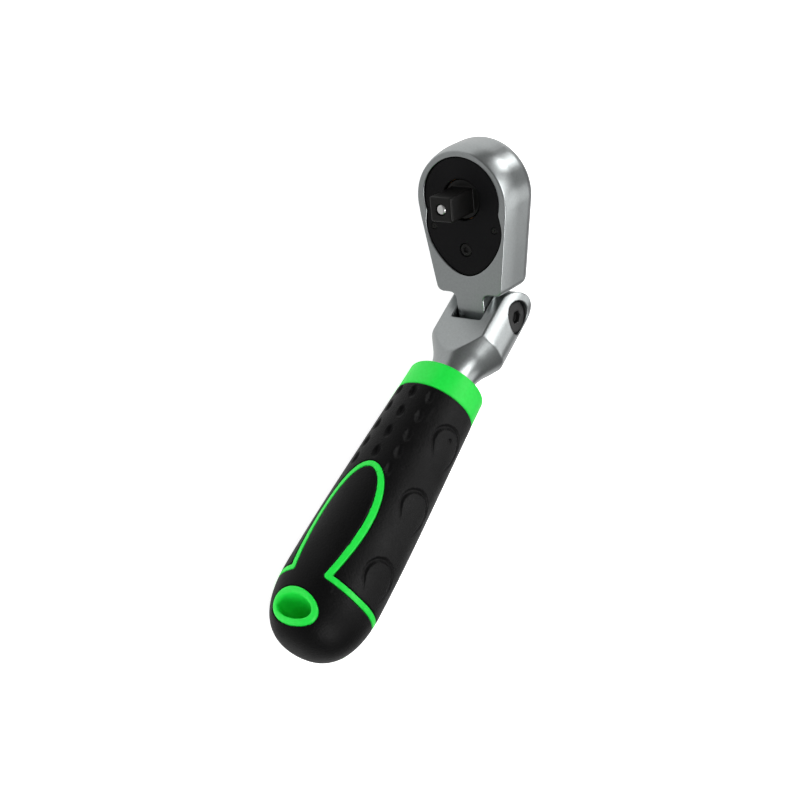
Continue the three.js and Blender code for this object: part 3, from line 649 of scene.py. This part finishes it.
def tab_outline(x, z):
    """A large circle at the stem and a small one at the tip, with straight sides between them."""
    lean = (lever_hub - lever_tip[1]) / lever_tip[0]
    upright = math.sqrt(1 - lean * lean)
    aside, along = np.abs(z), -x
    reach = upright * along - lean * aside
    side = upright * aside + lean * along - lever_hub
    tip = np.hypot(aside, along - lever_tip[0]) - lever_tip[1]
    far = np.where(reach > upright * lever_tip[0], tip, side)
    return np.where(reach < 0, np.hypot(aside, along) - lever_hub, far)


def lever_field(x, y, z):
    ribbed = np.clip((-x - 2.6) / 0.5, 0, 1) * (0.5 + 0.5 * np.cos(2 * np.pi * x / rib_every))
    back = lever_faces[0] + rib_height * (1 - ribbed) - y
    tab = common(tab_outline(x, z), common(back, y - lever_faces[1]), 0.7)
    across = np.hypot(x, z)
    stem = common(across - stem_radius, between(y, lever_faces[0] + 1, stem_top), 0.3)
    body = joined(tab, stem, 0.5)
    groove = common(between(y, seal_groove[0] - seal_groove[1], seal_groove[0] + seal_groove[1]),
                    stem_radius - seal_groove[2] - across)
    body = cut(body, groove, 0.15)
    body = cut(body, common(rod(y - plunger_hole[1], z, plunger_hole[0]), plunger_hole[2] - x), 0.15)
    return cut(body, common(across - thread_hole[0], thread_hole[1] - y), 0.15)


lever = skin("reversing_lever", lever_field, (-9, -9.3, -4.7), (4.7, 5.6, 4.7), 0.17, lever_place)
fitted(lever, oiled_black, "lever", "selector")

# Cover screw: a small blacked socket screw through the cover's toe into the lever's stem. It turns with
# the lever and keeps it in the head.

screw_head = (1.65, 6.05, 6.85)
screw_shank = (1.0, 2.0)
screw_hex = (1.5, 0.55)


def hexagon(a, b, across_flats):
    turns = [math.radians(angle) for angle in (0, 60, 120)]
    sides = [np.abs(a * math.cos(turn) + b * math.sin(turn)) for turn in turns]
    return np.maximum(np.maximum(*sides[:2]), sides[2]) - across_flats / 2


def cover_screw_field(x, y, z):
    across = np.hypot(x, z)
    body = common(across - screw_head[0], between(y, *screw_head[1:]), 0.35)
    shank = common(across - screw_shank[0], between(y, screw_shank[1], screw_head[1] + 0.3), 0.2)
    body = joined(body, shank)
    socket = common(hexagon(x, z, screw_hex[0]), screw_head[2] - screw_hex[1] - y)
    return cut(body, socket, 0.12)


cover_screw = skin("lever_screw", cover_screw_field, (-1.9, 1.7, -1.9), (1.9, 7.1, 1.9), 0.09, lever_place)
fitted(cover_screw, oiled_black, "lever", "cover_screw")

# Drive: the gear, its journal and the square, machined in one piece from blacked steel. The journal
# turns in the cover's hole and the boss at the back turns in the head.

drive_place = head_place @ Matrix.Translation(Vector((drive_x, 0, 0)) * millimetre)
teeth = (72, 8.175, 0.225)
gear_faces = (-3.6, 4.9)
journal = (5.1, 6.4)
boss = (4.5, -6.0)
square_half = 3.175
square_corner = 0.55
square_end = 16.3
pin_bore_radius = 1.52
spring_bore = (3.15, -0.5)
ball_at = (-2.55, 12.3)
ball_hole = 1.06


def drive_field(x, y, z):
    across = np.hypot(x, z)
    body = across - teeth[1] - teeth[2] * np.cos(teeth[0] * np.arctan2(z, x))
    body = common(body, between(y, *gear_faces), 0.3)
    body = joined(body, common(across - journal[0], between(y, 0, journal[1]), 0.35))
    body = joined(body, common(across - boss[0], between(y, boss[1], 0), 0.35))
    a = np.abs(x) - square_half + square_corner
    b = np.abs(z) - square_half + square_corner
    outside = np.hypot(np.maximum(a, 0), np.maximum(b, 0))
    square = outside + np.minimum(np.maximum(a, b), 0) - square_corner
    body = joined(body, common(square, between(y, 0, square_end), 0.7), 0.3)
    body = cut(body, across - pin_bore_radius, 0.25)
    body = cut(body, common(across - spring_bore[0], y - spring_bore[1]), 0.25)
    return cut(body, common(rod(y - ball_at[1], z, ball_hole), x), 0.2)


drive = skin("gear_and_square", drive_field, (-8.8, -6.4, -8.8), (8.8, 16.7, 8.8), 0.19, drive_place)
fitted(drive, oiled_black, "drive", "drive_gear")

# Release pin: a polished steel pin through the drive. Pressing the button at the back slides its waist
# under the retaining ball, and the ball then drops in and lets the socket go.

release_profile = [
    (-7.1, 0.95), (-5.55, 0.95), (-5.45, 1.43), (8.4, 1.43),
    (9.0, 0.95), (10.3, 0.95), (12.3, 1.43), (17, 1.43),
]
release_ends = (-7.1, 16.3)


def release_pin_field(x, y, z):
    radius = np.interp(y, *np.transpose(release_profile))
    return common(np.hypot(x, z) - radius, between(y, *release_ends), 0.9)


polished = finish(
    "bright_steel", dark=(0.80, 0.80, 0.79), light=(0.88, 0.88, 0.87), metal=1.0, dull=0.34,
    grain=0.2, depth=0.002, patch=0.06,
)

rod_low, rod_high = (-1.7, -7.4, -1.7), (1.7, 16.6, 1.7)
release_pin = skin("release_pin_rod", release_pin_field, rod_low, rod_high, 0.14, drive_place)
fitted(release_pin, polished, "release", "release_pin")

# Retaining ball: a hardened steel ball in a cross hole of the square, staked so that it can't fall out.

ball_radius = 1.0


def ball_field(x, y, z):
    return np.sqrt((x - ball_at[0]) ** 2 + (y - ball_at[1]) ** 2 + z ** 2) - ball_radius


ball = skin("socket_ball", ball_field, (-3.8, 11.1, -1.2), (-1.3, 13.5, 1.2), 0.1, drive_place)
fitted(ball, polished, "ball", "retaining_ball")

# Release button: a blacked steel cap with a dished face, pressed onto the pin's tail.

button_radius = 3.0
button_faces = (-7.6, -5.6)
button_dish = (0.35, 2.6)
button_bore = (1.0, -7.15)


def button_field(x, y, z):
    across = np.hypot(x, z)
    body = common(across - button_radius, between(y, *button_faces), 0.6)
    dish = button_dish[0] * (1 - (across / button_dish[1]) ** 2)
    body = common(body, button_faces[0] + dish - y, 0.15)
    return cut(body, common(across - button_bore[0], button_bore[1] - y), 0.1)


button = skin("push_button", button_field, (-3.3, -7.9, -3.3), (3.3, -5.3, 3.3), 0.13, drive_place)
fitted(button, oiled_black, "release", "release_button")

# Springs: three coils of drawn wire with ground ends. One pushes the button out, one the pawl's plunger
# and one the detent ball.


def coil_field(radius, wire, ends, turns):
    pitch = (ends[1] - ends[0] - 2 * wire) / turns

    def field(x, y, z):
        round_axis = np.arctan2(z, x) / (2 * np.pi)
        along = (y - ends[0] - wire) / pitch - round_axis
        off = (along - np.round(along)) * pitch
        lean = 1 / math.hypot(1, pitch / (2 * np.pi * radius))
        return common(np.hypot(np.hypot(x, z) - radius, off * lean) - wire, between(y, *ends), 0.05)

    return field


drawn_wire = finish(
    "spring_steel", dark=(0.30, 0.31, 0.32), light=(0.40, 0.41, 0.42), metal=1.0, dull=0.30,
    grain=0.1, depth=0.002, patch=0.08,
)
release_coil_ends = (-5.5, -0.6)
release_coil = coil_field(2.3, 0.3, release_coil_ends, 4)
release_spring = skin("button_spring", release_coil, (-3, -5.9, -3), (3, -0.2, 3), 0.11, drive_place)
fitted(release_spring, drawn_wire, "drive", "release_spring")
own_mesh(release_spring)
plunger_place = turned(lever_place @ Matrix.Translation(Vector((0, 0.2, 0)) * millimetre), -90, "Z")
pawl_coil = coil_field(0.59, 0.15, (-1.65, 0.6), 3)
pawl_spring = skin("plunger_spring", pawl_coil, (-0.9, -1.9, -0.9), (0.9, 0.9, 0.9), 0.06, plunger_place)
fitted(pawl_spring, drawn_wire, "lever", "pawl_spring")
detent_place = turned(handle_place, -90, "Z")
detent_coil = coil_field(0.9, 0.19, (-14.5, -9.55), 5)
detent_spring = skin("detent_spring", detent_coil, (-1.3, -14.8, -1.3), (1.3, -9.3, 1.3), 0.08, detent_place)
fitted(detent_spring, drawn_wire, "handle", "flex_detent_spring")

# Pawl, plunger, washer and seal: they are shut inside the head. The pawl is sintered steel and rocks on
# the lever's stem, the washer is bronze and the seal is a rubber ring.

sintered = finish(
    "sintered_steel", dark=(0.06, 0.062, 0.064), light=(0.16, 0.163, 0.168), metal=0.9, dull=0.52,
    grain=0.12, depth=0.02, wear=0.6, worn=(0.4, 0.4, 0.41), patch=0.12,
)
plain_bronze = finish(
    "bronze", dark=(0.42, 0.20, 0.075), light=(0.60, 0.31, 0.13), metal=1.0, dull=0.32,
    grain=0.3, depth=0.004, patch=0.12,
)
ring_rubber = finish(
    "seal_rubber", dark=(0.008, 0.008, 0.008), light=(0.016, 0.016, 0.016), metal=0.0, dull=0.6,
    grain=0.1, depth=0.006, specular=0.4, patch=0.1,
)
inner_parts = {
    "pawl": sintered, "pawl_plunger": drawn_wire,
    "thrust_washer": plain_bronze, "selector_seal": ring_rubber,
}
for node, material in inner_parts.items():
    part = frame["nodes"][node]
    part.data.materials.clear()
    part.data.materials.append(material)

# Fork: a chromed steel bar, turned, then flattened front and back and slotted for the tongue. Its tang
# runs down inside the handle. The right ear is counterbored for the pivot screw's head.

bar_radius = 10.0
neck_radius = 5.9
cone_at = (-12.4, 9.85)
cone_rise = 0.592
ear_vertex = -12.0
flat_y = 6.75
ear_shift = 0.2
slot_half_width = 4.4
slot_floor = -7.3
neck_end = -31.5
tang_radius = 4.5
tang_flat = 3.6
tang_end = -80.0
screw_seat = (4.4, 7.15)
shank_bore = 2.55
thread_bore = 2.05
detent_bore = (1.25, -14.6)


def fork_field(x, y, z):
    radius = np.hypot(y, z)
    cone = (radius - cone_at[1] - cone_rise * (x - cone_at[0])) / math.hypot(1, cone_rise)
    bar = common(joined(radius - neck_radius, cone, 2.0), radius - bar_radius, 0.25)
    plan = np.hypot(np.maximum(x + ear_shift, 0), y) - flat_y
    body = common(common(bar, plan, 0.22), neck_end - x, 0.4)
    tang = common(common(radius - tang_radius, np.abs(y) - tang_flat), between(x, tang_end, neck_end + 2))
    body = joined(body, tang)
    slot = common(np.abs(z) - slot_half_width, slot_floor - x, 0.8)
    body = cut(body, slot, 0.3)
    head_room = common(rod(x, y, screw_seat[0]), screw_seat[1] - z)
    shank_room = common(rod(x, y, shank_bore), between(z, 0, 9))
    thread_room = common(rod(x, y, thread_bore), z)
    body = cut(body, joined(head_room, joined(shank_room, thread_room)), 0.3)
    return cut(body, common(rod(y, z, detent_bore[0]), between(x, detent_bore[1], 0)), 0.2)


fork = skin("fork_forging", fork_field, (-81, -7.6, -10.8), (7.8, 7.6, 10.8), 0.26, handle_place)
fitted(fork, satin_chrome, "handle", "fork")

# Pivot screw: a blacked socket screw across the fork. Its head sits in the right ear, the tongue turns
# on its shank, and its thread holds in the left ear.

pivot_head = (4.2, 7.2, 9.1)
pivot_dome = 0.25
pivot_hex = (3.0, 1.3)
pivot_shank = (2.5, -4.35)
pivot_thread = (1.88, 0.11, 0.8, -9.0)


def pivot_field(x, y, z):
    across = np.hypot(x, y)
    head_top = z - pivot_head[2] + pivot_dome * (across / pivot_head[0]) ** 2
    body = common(across - pivot_head[0], common(head_top, pivot_head[1] - z), 0.6)
    shank = common(across - pivot_shank[0], between(z, pivot_shank[1], pivot_head[1] + 0.5), 0.2)
    body = joined(body, shank)
    core, depth, pitch, end = pivot_thread
    ridge = depth * np.cos(2 * np.pi * z / pitch - np.arctan2(y, x))
    body = joined(body, common(across - core - ridge, between(z, end, pivot_shank[1] + 0.5), 0.4))
    chamfered = hexagon(x, y, pivot_hex[0]) - 0.25 * np.clip((z - pivot_head[2] + 0.3) / 0.3, 0, 1)
    return cut(body, common(chamfered, pivot_head[2] - pivot_hex[1] - z), 0.15)


screw_black = finish(
    "black_screw", dark=(0.0070, 0.0070, 0.0072), light=(0.0130, 0.0130, 0.0134), metal=0.0, dull=0.36,
    grain=0.14, depth=0.006, specular=0.36, wear=0.6, worn=(0.10, 0.10, 0.10), patch=0.12,
)

pivot = skin("hinge_screw", pivot_field, (-4.5, -4.5, -9.3), (4.5, 4.5, 9.5), 0.15, handle_place)
fitted(pivot, screw_black, "handle", "pivot_screw")

# Detent ball: a bronze ball in the fork's bore. A spring presses it into the notches of the tongue.

detent_ball = (1.2, -8.25)


def detent_ball_field(x, y, z):
    return np.sqrt((x - detent_ball[1]) ** 2 + y ** 2 + z ** 2) - detent_ball[0]


click_ball = skin("click_ball", detent_ball_field, (-9.7, -1.4, -1.4), (-6.8, 1.4, 1.4), 0.12, handle_place)
fitted(click_ball, plain_bronze, "handle", "flex_detent_ball")

# Handle core: hard green plastic moulded over the fork's tang. Its collar shows at the top of the grip,
# and a raised rib shows as the thin stripe that outlines the grip's panel.

# The grip's cone is a radius, where it has it, and how fast it narrows; its dome is a radius, a length and
# the power of its curve. The collar runs between two places, with a radius at each.
swell_line = (12.65, -76.0, 0.0493)
dome_start = -85.0
dome_size = (12.75, 19.1, 2.65)
collar = (-31.8, -24.3, 10.43, 10.13)
core_line = [(-91.5, 8.2), (-89.5, 10.4), (-78, 10.3), (-55, 9.4), (-31.8, 8.1), (-20, 8.1)]
core_end = -91.5
tang_bore = (4.6, -81)
neck_bore = (6.0, -31.3)
stripe_half = 0.75
stripe_tip = -57.6
stripe_corner = (-88.8, 4.9)
stripe_side = (-90.0, 11.5)
panel_twist = 0.05


def handle_outside(x, across):
    """The grip's outside: nearly a straight cone, and a dome over the end."""
    cone = across - swell_line[0] + swell_line[2] * (x - swell_line[1])
    radius, length, power = dome_size
    past = np.maximum(dome_start - x, 0) / length
    dome = ((past ** power + (across / radius) ** power + 1e-9) ** (1 / power) - 1) * radius
    return common(cone, dome, 0.8)


def panel_outline():
    """The panel seen from the front: a long tongue with a round tip, on the handle's whole end."""
    tip = (stripe_tip, 0)
    half_tongue = curve(tip, (stripe_tip, 4.6), (-68, 9.2), stripe_corner, 30)
    half_panel = np.vstack([half_tongue, stripe_side, (stripe_side[0], 40), (-130, 40)])
    return np.vstack([half_panel, half_panel[:0:-1] * (1, -1)])


panel_chart = outline_chart(panel_outline(), (-107, -16), (-22, 16), 0.1)


def panel_distance(x, y, z):
    return panel_chart(x, z - panel_twist * y)


def core_body(x, across):
    return common(across - np.interp(x, *np.transpose(core_line)), core_end - x)


def core_field(x, y, z):
    across = np.hypot(y, z)
    base, top, base_radius, top_radius = collar
    taper = base_radius + (x - base) * (top_radius - base_radius) / (top - base)
    ring = common(across - taper, between(x, base, top), 0.6)
    rib = common(handle_outside(x, across), np.abs(panel_distance(x, y, z)) - stripe_half, 0.2)
    rib = common(rib, x - base)
    body = joined(joined(common(core_body(x, across), x - base - 1), rib), ring)
    body = cut(body, common(across - tang_bore[0], tang_bore[1] - x))
    return cut(body, common(across - neck_bore[0], neck_bore[1] - x), 0.4)


hard_green = finish(
    "green_plastic", dark=(0.005, 0.66, 0.042), light=(0.014, 0.76, 0.066), metal=0.0, dull=0.42,
    grain=0.35, depth=0.003, specular=0.32, wear=0.2, worn=(0.10, 0.72, 0.16), patch=0.10,
)

core = skin("green_core", core_field, (-93, -13.4, -13.4), (-23.9, 13.4, 13.4), 0.3, handle_place)
fitted(core, hard_green, "handle", "handle_core")

# Grip: soft black rubber moulded over the core, in two pieces with the stripe between them. The front
# and back have three rows of dimples, and each side has three thumb marks, each a fading arc.

parting = 0.87
core_gap = 0.05
dimple_rows = {
    -29: (-33.8, -39.3, -45.2, -50.7, -56.1),
    0: (-34.6, -41.1, -47.5, -53.9),
    26: (-34.9, -40.9, -46.9, -52.2, -57.5),
}
dimple_size = (2.2, 1.15)
dimple_depth = 0.7
dimple_lean = 0.30
# A thumb mark's groove has a half width and a depth; the mould dot has a place, a radius and a depth.
thumb_marks = (-43.3, -62.6, -82.5)
thumb_angle = 80
thumb_radius = 4.8
thumb_tail = 11.0
thumb_fade = 6.0
thumb_groove = (0.75, 0.5)
mould_dot = (-41.6, 0.7, 0.5)


def pressed_in(x, y, z):
    """How deep the dimples and the thumb marks are at a point of the grip."""
    radius = np.maximum(np.hypot(y, z), 1)
    facing = np.abs(y)
    depth = 0.0
    for angle, places in dimple_rows.items():
        aside = (np.arctan2(z, facing) - math.radians(angle)) * radius
        for place in places:
            along = (x - place) + dimple_lean * aside
            size = (along / dimple_size[0]) ** 2 + (aside / dimple_size[1]) ** 2
            depth = depth + dimple_depth * np.maximum(1 - size, 0) ** 1.5
    around = np.arctan2(y, np.abs(z))
    aside = (around - math.radians(90 - thumb_angle)) * radius
    tangent = math.asin(thumb_radius / thumb_tail)
    for place in thumb_marks:
        along = place - x
        side = np.abs(aside) * math.cos(tangent) + along * math.sin(tangent) - thumb_radius
        round_end = np.hypot(along, aside) - thumb_radius
        arc = np.where(along > np.tan(tangent) * np.abs(aside), side, round_end)
        fade = np.clip((thumb_fade - along) / (thumb_fade + 2), 0, 1)
        width = thumb_groove[0] * (0.4 + 0.6 * fade)
        depth = depth + thumb_groove[1] * fade * np.maximum(1 - (arc / width) ** 2, 0) ** 1.5
    place, radius, deep = mould_dot
    return depth + deep * np.maximum(1 - ((x - place) ** 2 + aside ** 2) / radius ** 2, 0)


def sleeve_field(x, y, z):
    across = np.hypot(y, z)
    outside = handle_outside(x, across) + pressed_in(x, y, z)
    shell = common(outside, parting - panel_distance(x, y, z), 0.3)
    shell = common(shell, x - collar[0] + core_gap, 0.3)
    return cut(shell, core_body(x, across) - core_gap)


soft_black = finish(
    "soft_grip", dark=(0.0005, 0.0005, 0.0006), light=(0.0016, 0.0016, 0.0017), metal=0.0, dull=0.46,
    grain=0.40, depth=0.110, specular=0.16, wear=0.3, worn=(0.015, 0.015, 0.015), patch=0.10,
)

sleeve_low, sleeve_high = (-93, -13.4, -13.4), (-31.4, 13.4, 13.4)
sleeve = skin("grip_sleeve_rubber", sleeve_field, sleeve_low, sleeve_high, 0.3, handle_place)
fitted(sleeve, soft_black, "handle", "grip_sleeve")

hang_hole_at = -97.5
hang_hole = (2.5, 4.7)
hang_ring = (4.0, 6.5)
ring_proud = 0.15


def oval(along, across, half_sizes):
    """About how far a point is from an oval, negative inside."""
    a, b = half_sizes
    share = np.sqrt((along / a) ** 2 + (across / b) ** 2) + 1e-9
    steepness = np.sqrt((along / a ** 2) ** 2 + (across / b ** 2) ** 2) / share + 1e-9
    return (share - 1) / steepness


def end_field(x, y, z):
    across = np.hypot(y, z)
    shell = common(handle_outside(x, across), panel_distance(x, y, z) + parting, 0.3)
    shell = cut(shell, common(core_body(x, across) - core_gap, x + 24))
    return cut(shell, oval(x - hang_hole_at, z, hang_ring) - core_gap, 0.25)


end = skin("grip_end_rubber", end_field, (-105.4, -13.4, -13.4), (-57, 13.4, 13.4), 0.3, handle_place)
fitted(end, soft_black, "handle", "grip_end")

# Hang ring: a green plastic eyelet right through the handle's end, with rounded lips.


def ring_field(x, y, z):
    lip = common(handle_outside(x, np.hypot(y, z)) - ring_proud, oval(x - hang_hole_at, z, hang_ring), 0.5)
    return cut(lip, oval(x - hang_hole_at, z, hang_hole), 1.1)


ring = skin("hang_eyelet", ring_field, (-102, -13.4, -7), (-93, 13.4, 7), 0.2, handle_place)
fitted(ring, hard_green, "handle", "hang_ring")
